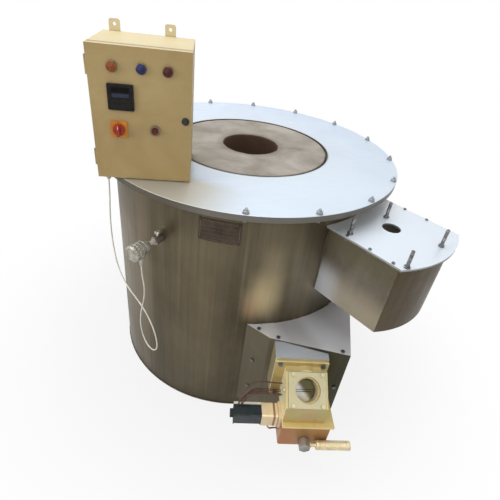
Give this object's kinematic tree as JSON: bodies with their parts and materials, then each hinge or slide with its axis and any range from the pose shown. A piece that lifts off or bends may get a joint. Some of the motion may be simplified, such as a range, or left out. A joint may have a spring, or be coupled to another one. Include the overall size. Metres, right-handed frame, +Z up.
{
  "type": "crucible melting furnace",
  "caption": "Round steel-cased crucible melting furnace with a flue box, a side burner with gas valve and air flap, a thermocouple and a control cabinet.",
  "frame": {"origin": "on the floor, on the axis of the round drum", "axes": "+Z up along the drum's axis and out of the crucible mouth, the burner side faces -Y, +X to the right of it"},
  "size_m": [1.1998, 1.5375, 1.428],
  "materials": {
    "shell_steel": "rolled sheet, dull",
    "plate_silver": "satin aluminium paint",
    "sheet_steel": "folded sheet, dull",
    "fastener": "zinc plated",
    "refractory": "rough cast",
    "fibre": "ceramic fibre",
    "crucible_clay": "glazed graphite clay",
    "yellow_zinc": "yellow passivated",
    "orange_zinc": "yellow passivated, darker",
    "inlet_zinc": "yellow passivated",
    "flap_grey": "bare",
    "lever_zinc": "yellow passivated",
    "valve_alloy": "cast",
    "yoke_steel": "zinc plated",
    "coil_black": "moulded",
    "wire_black": "matt",
    "union_brass": "dull",
    "couple_alloy": "cast",
    "sheath_ceramic": "fired",
    "gland_plastic": "moulded",
    "plate_brown": "etched and lacquered",
    "cabinet_cream": "fine textured powder coat",
    "seal_rubber": "foam",
    "bezel_chrome": "polished",
    "lamp_amber": "moulded",
    "lamp_blue": "moulded",
    "lamp_red": "moulded",
    "controller_black": "moulded",
    "window_dark": "tinted",
    "switch_yellow": "moulded",
    "switch_red": "moulded",
    "button_red": "moulded",
    "lock_black": "moulded",
    "rail_zinc": "zinc plated",
    "device_grey": "moulded",
    "terminal_beige": "moulded",
    "lead_white": "matt jacket"
  },
  "bodies": {
    "root": {"base_plate": "shell_steel", "shell": "shell_steel", "rim_ring": "plate_silver", "top_plate": "plate_silver", "rim_bolts": "fastener", "drum_insulation": "fibre", "refractory_lining": "refractory", "hearth": "refractory", "crucible_stand": "refractory", "crucible": "crucible_clay", "mouth_collar": "refractory", "flue_box": "sheet_steel", "flue_lining": "refractory", "flue_cover": "plate_silver", "flue_studs": "fastener", "flue_bolts": "fastener", "port_housing": "sheet_steel", "port_insulation": "fibre", "fixing_screws": "fastener", "burner_tile": "refractory", "burner_neck": "plate_silver", "burner_body": "yellow_zinc", "inlet_plate": "inlet_zinc", "burner_bolts": "fastener", "gas_block": "orange_zinc", "gas_fittings": "union_brass", "valve_body": "valve_alloy", "coil_yoke": "yoke_steel", "valve_coil": "coil_black", "valve_wires": "wire_black", "couple_socket": "fastener", "couple_sheath": "sheath_ceramic", "thumb_screw": "union_brass", "couple_head": "couple_alloy", "couple_lid": "couple_alloy", "cable_glands": "gland_plastic", "nameplate": "plate_brown", "cabinet_frame": "cabinet_cream", "cabinet_body": "cabinet_cream", "hinge_pins": "bezel_chrome", "mounting_plate": "rail_zinc", "switchgear": "device_grey", "terminal_strip": "terminal_beige", "couple_lead": "lead_white"},
    "door": {"cabinet_door": "cabinet_cream", "door_gasket": "seal_rubber", "fitting_bezels": "bezel_chrome", "amber_lamp": "lamp_amber", "blue_lamp": "lamp_blue", "red_lamp": "lamp_red", "controller": "controller_black", "controller_window": "window_dark", "switch_plate": "switch_yellow", "lock_housing": "lock_black"},
    "lock": {"lock_knob": "lock_black"},
    "switch": {"switch_knob": "switch_red"},
    "button": {"button_cap": "button_red"},
    "flap": {"air_flap": "flap_grey"},
    "cock": {"cock_hub": "flap_grey", "cock_lever": "lever_zinc"}
  },
  "joints": [
    {"name": "door_hinge", "type": "hinge", "parent": "root", "child": "door", "pos_m": [-0.59452, -0.26442, 1.201], "axis": [0, 0, -1], "range_deg": [0, 110]},
    {"name": "lock_turn", "type": "hinge", "parent": "door", "child": "lock", "pos_m": [-0.33186, -0.34172, 1.206], "axis": [-0.2079, -0.9781, 0], "range_deg": [0, 90]},
    {"name": "switch_turn", "type": "hinge", "parent": "door", "child": "switch", "pos_m": [-0.52064, -0.30159, 1.169], "axis": [-0.2079, -0.9781, 0], "range_deg": [-90, 0]},
    {"name": "button_press", "type": "slide", "parent": "door", "child": "button", "axis": [0.2079, 0.9781, 0], "range_m": [0, 0.004], "stiffness_N_per_m": 250, "springref_m": -0.001},
    {"name": "flap_turn", "type": "hinge", "parent": "root", "child": "flap", "pos_m": [0.03456, -0.77515, 0.39034], "axis": [0.9659, -0.2588, 0], "range_deg": [-14, 60]},
    {"name": "cock_turn", "type": "hinge", "parent": "root", "child": "cock", "pos_m": [0.03066, -0.85921, 0.214], "axis": [-0.2588, -0.9659, 0], "range_deg": [-90, 0]}
  ]
}
